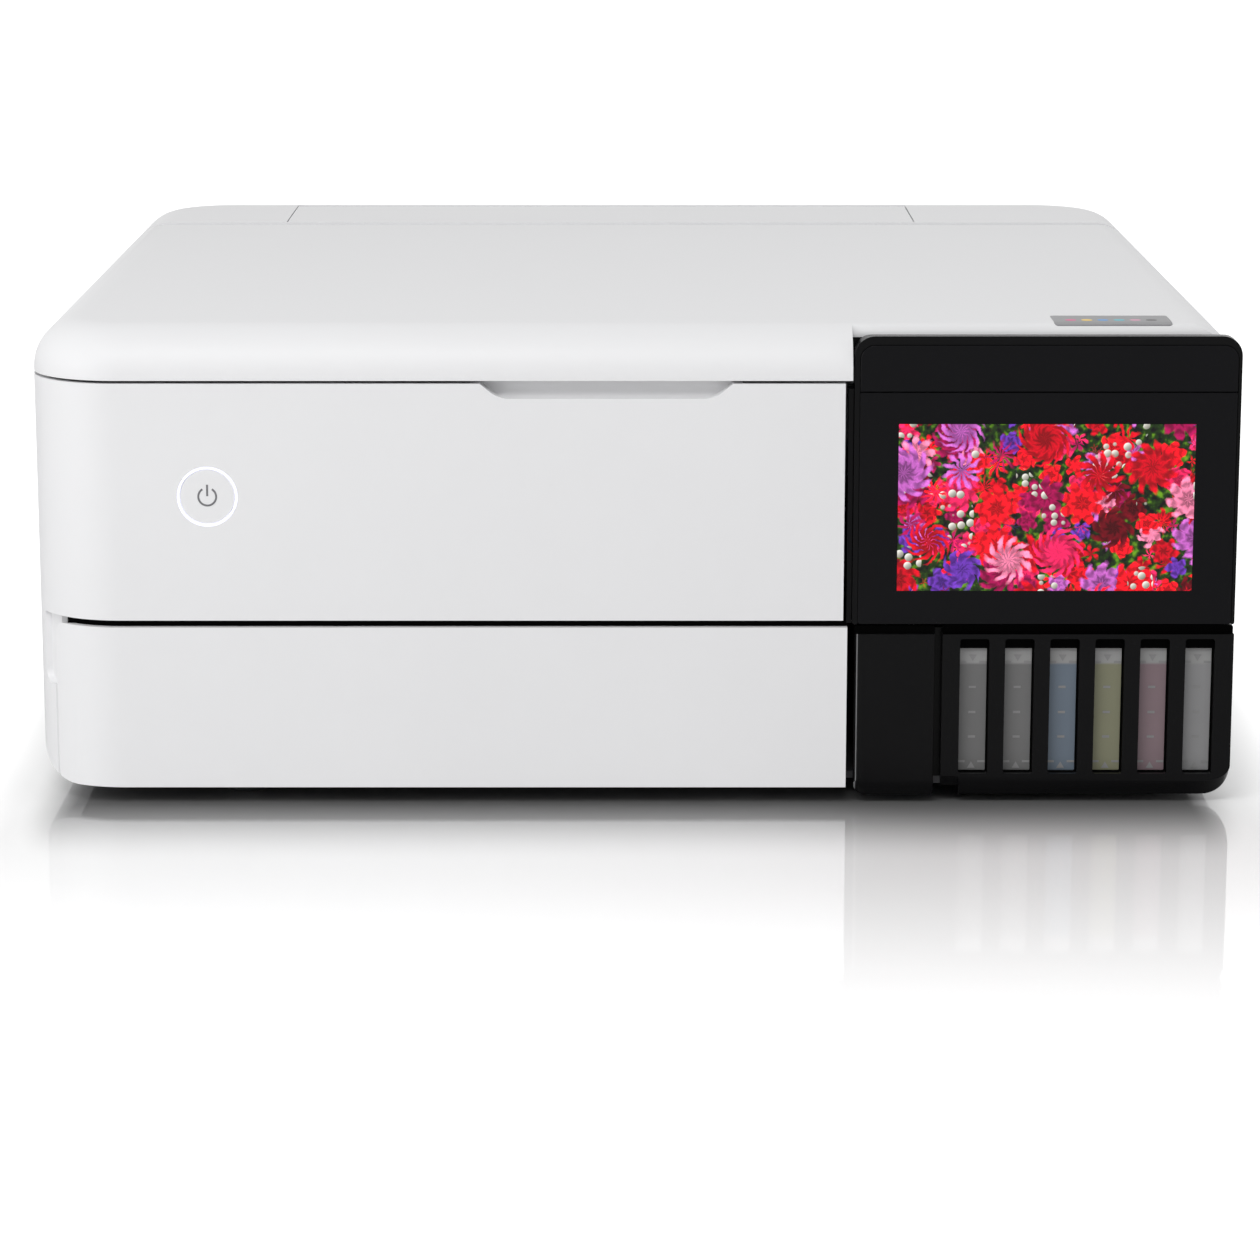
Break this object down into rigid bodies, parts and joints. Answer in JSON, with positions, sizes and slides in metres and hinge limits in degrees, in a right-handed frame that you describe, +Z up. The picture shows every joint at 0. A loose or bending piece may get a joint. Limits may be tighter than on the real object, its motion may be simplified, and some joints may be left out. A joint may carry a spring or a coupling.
{
  "type": "inkjet printer",
  "caption": "Flatbed inkjet printer with tank windows, tilting touch panel, folding lower cover with paper cassette, rear feeder and hinged scanner lid.",
  "frame": {"origin": "middle of the footprint, on the surface that the feet stand on", "axes": "+X to the right seen from the front, +Y to the rear, +Z up"},
  "size_m": [0.403, 0.378, 0.162],
  "materials": {
    "white_shell": "fine textured white ABS",
    "black_shell": "fine textured black ABS",
    "black_gloss": "polished black panel",
    "dark_plastic": "moulded dark grey ABS",
    "grey_plastic": "moulded grey plastic",
    "rubber": "matt",
    "steel": "zinc-plated sheet and ground rod",
    "motor_metal": "satin",
    "glass": "polished scanner glass",
    "mat_foam": "smooth white foam-backed sheet",
    "screen": "lit screen",
    "tank_plastic": "translucent smoked plastic with ink behind",
    "light_guide": "lit diffuser",
    "circuit_board": "solder mask"
  },
  "bodies": {
    "chassis": {"base_pan": "dark_plastic", "rubber_feet": "rubber", "left_housing": "white_shell", "right_housing": "white_shell", "rear_housing": "white_shell", "front_fascia": "white_shell", "feeder_deck": "white_shell", "feed_hopper": "dark_plastic", "panel_bay": "black_shell", "lid_hinges": "steel", "power_light_ring": "light_guide", "main_board": "circuit_board", "power_supply": "dark_plastic", "mains_inlet": "dark_plastic", "rear_ports": "steel", "inner_frame": "steel", "guide_rails": "steel", "encoder_strip": "grey_plastic", "drive_belts": "rubber", "drive_motors": "motor_metal", "platen": "dark_plastic", "capping_station": "dark_plastic", "ink_tanks": "tank_plastic", "tank_bezel": "black_shell", "card_reader": "dark_plastic", "ink_tubes": "dark_plastic", "screws": "steel"},
    "scanner_unit": {"scanner_housing": "dark_plastic", "scanner_glass": "glass", "scan_rail": "steel"},
    "scan_bar": {"scan_bar": "dark_plastic"},
    "document_cover": {"document_cover": "white_shell", "document_mat": "mat_foam"},
    "control_panel": {"panel_frame": "black_shell", "touch_panel": "black_gloss", "display_module": "screen"},
    "power_button": {"power_button": "white_shell"},
    "paper_cassette": {"paper_cassette": "dark_plastic"},
    "front_cover": {"front_cover": "white_shell"},
    "cassette_guide_left": {"cassette_guide_left": "grey_plastic"},
    "cassette_guide_right": {"cassette_guide_right": "grey_plastic"},
    "output_tray": {"output_tray": "dark_plastic"},
    "tray_extension": {"tray_extension": "dark_plastic"},
    "print_carriage": {"print_carriage": "dark_plastic", "print_head": "steel"},
    "motor_pulley": {"motor_pulley": "grey_plastic"},
    "idler_pulley": {"idler_pulley": "grey_plastic"},
    "feed_roller": {"feed_roller": "steel"},
    "exit_roller": {"exit_roller": "rubber"},
    "paper_support": {"paper_support": "white_shell"},
    "card_slot_door": {"card_slot_door": "black_shell"},
    "maintenance_box": {"maintenance_box": "grey_plastic"},
    "feeder_guide_left": {"feeder_guide_left": "grey_plastic"},
    "feeder_guide_right": {"feeder_guide_right": "grey_plastic"},
    "tank_cap_1": {"tank_cap_1": "black_shell"},
    "tank_cap_2": {"tank_cap_2": "black_shell"},
    "tank_cap_3": {"tank_cap_3": "black_shell"},
    "tank_cap_4": {"tank_cap_4": "black_shell"},
    "tank_cap_5": {"tank_cap_5": "black_shell"},
    "tank_cap_6": {"tank_cap_6": "black_shell"}
  },
  "joints": [
    {"name": "scanner_lift", "type": "hinge", "parent": "chassis", "child": "scanner_unit", "pos_m": [0, 0.1015, 0.1545], "axis": [-1, 0, 0], "range_deg": [0, 25]},
    {"name": "lid_hinge", "type": "hinge", "parent": "scanner_unit", "child": "document_cover", "pos_m": [0, 0.1015, 0.1545], "axis": [-1, 0, 0], "range_deg": [0, 65]},
    {"name": "scan_bar_travel", "type": "slide", "parent": "scanner_unit", "child": "scan_bar", "axis": [1, 0, 0], "range_m": [0, 0.27]},
    {"name": "panel_tilt", "type": "hinge", "parent": "chassis", "child": "control_panel", "pos_m": [0.138, -0.1845, 0.1535], "axis": [-1, 0, 0], "range_deg": [0, 45]},
    {"name": "power_button_press", "type": "slide", "parent": "chassis", "child": "power_button", "axis": [0, 1, 0], "range_m": [0, 0.0008], "stiffness_N_per_m": 800, "springref_m": -0.0004},
    {"name": "cassette_slide", "type": "slide", "parent": "chassis", "child": "paper_cassette", "axis": [0, -1, 0], "range_m": [0, 0.2]},
    {"name": "front_cover_fold", "type": "hinge", "parent": "paper_cassette", "child": "front_cover", "pos_m": [-0.04, -0.183, 0.0095], "axis": [1, 0, 0], "range_deg": [0, 90]},
    {"name": "output_tray_slide", "type": "slide", "parent": "chassis", "child": "output_tray", "axis": [0, -1, 0], "range_m": [0, 0.09]},
    {"name": "tray_extension_slide", "type": "slide", "parent": "output_tray", "child": "tray_extension", "axis": [0, -1, 0], "range_m": [0, 0.06]},
    {"name": "cassette_guide_left_slide", "type": "slide", "parent": "paper_cassette", "child": "cassette_guide_left", "axis": [1, 0, 0], "range_m": [0, 0.05]},
    {"name": "cassette_guide_right_slide", "type": "slide", "parent": "paper_cassette", "child": "cassette_guide_right", "axis": [-1, 0, 0], "range_m": [0, 0.05]},
    {"name": "carriage_travel", "type": "slide", "parent": "chassis", "child": "print_carriage", "axis": [1, 0, 0], "range_m": [-0.25, 0]},
    {"name": "motor_pulley_spin", "type": "hinge", "parent": "chassis", "child": "motor_pulley", "pos_m": [-0.172, 0.0315, 0.1], "axis": [0, 1, 0], "range_deg": [0, 2200]},
    {"name": "idler_pulley_spin", "type": "hinge", "parent": "chassis", "child": "idler_pulley", "pos_m": [0.172, 0.0315, 0.1], "axis": [0, 1, 0], "range_deg": [0, 2200]},
    {"name": "feed_roller_spin", "type": "hinge", "parent": "chassis", "child": "feed_roller", "pos_m": [-0.042, 0.029, 0.056], "axis": [1, 0, 0], "continuous": true},
    {"name": "exit_roller_spin", "type": "hinge", "parent": "chassis", "child": "exit_roller", "pos_m": [-0.042, -0.055, 0.056], "axis": [1, 0, 0], "continuous": true},
    {"name": "paper_support_hinge", "type": "hinge", "parent": "chassis", "child": "paper_support", "pos_m": [-0.0125, 0.168, 0.1585], "axis": [-1, 0, 0], "range_deg": [0, 105]},
    {"name": "tank_cap_1_hinge", "type": "hinge", "parent": "chassis", "child": "tank_cap_1", "pos_m": [0.11455, -0.1247, 0.06], "axis": [-1, 0, 0], "range_deg": [0, 95]},
    {"name": "tank_cap_2_hinge", "type": "hinge", "parent": "chassis", "child": "tank_cap_2", "pos_m": [0.12965, -0.1247, 0.06], "axis": [-1, 0, 0], "range_deg": [0, 95]},
    {"name": "tank_cap_3_hinge", "type": "hinge", "parent": "chassis", "child": "tank_cap_3", "pos_m": [0.14475, -0.1247, 0.06], "axis": [-1, 0, 0], "range_deg": [0, 95]},
    {"name": "tank_cap_4_hinge", "type": "hinge", "parent": "chassis", "child": "tank_cap_4", "pos_m": [0.15985, -0.1247, 0.06], "axis": [-1, 0, 0], "range_deg": [0, 95]},
    {"name": "tank_cap_5_hinge", "type": "hinge", "parent": "chassis", "child": "tank_cap_5", "pos_m": [0.17495, -0.1247, 0.06], "axis": [-1, 0, 0], "range_deg": [0, 95]},
    {"name": "tank_cap_6_hinge", "type": "hinge", "parent": "chassis", "child": "tank_cap_6", "pos_m": [0.19005, -0.1247, 0.06], "axis": [-1, 0, 0], "range_deg": [0, 95]},
    {"name": "card_slot_door_hinge", "type": "hinge", "parent": "chassis", "child": "card_slot_door", "pos_m": [0.077, -0.1865, 0.03], "axis": [0, 0, -1], "range_deg": [0, 90]},
    {"name": "maintenance_box_slide", "type": "slide", "parent": "chassis", "child": "maintenance_box", "axis": [0, 1, 0], "range_m": [0, 0.075]},
    {"name": "feeder_guide_left_slide", "type": "slide", "parent": "chassis", "child": "feeder_guide_left", "axis": [1, 0, 0], "range_m": [0, 0.05]},
    {"name": "feeder_guide_right_slide", "type": "slide", "parent": "chassis", "child": "feeder_guide_right", "axis": [-1, 0, 0], "range_m": [0, 0.05]}
  ],
  "couplings": [
    {"joint": "output_tray_slide", "follows": "front_cover_fold", "m_per_rad": 0.0572},
    {"joint": "tray_extension_slide", "follows": "front_cover_fold", "m_per_rad": 0.0381},
    {"joint": "cassette_guide_right_slide", "follows": "cassette_guide_left_slide", "ratio": 1},
    {"joint": "motor_pulley_spin", "follows": "carriage_travel", "rad_per_m": -147},
    {"joint": "idler_pulley_spin", "follows": "carriage_travel", "rad_per_m": -147},
    {"joint": "exit_roller_spin", "follows": "feed_roller_spin", "ratio": 1},
    {"joint": "feeder_guide_right_slide", "follows": "feeder_guide_left_slide", "ratio": 1}
  ]
}
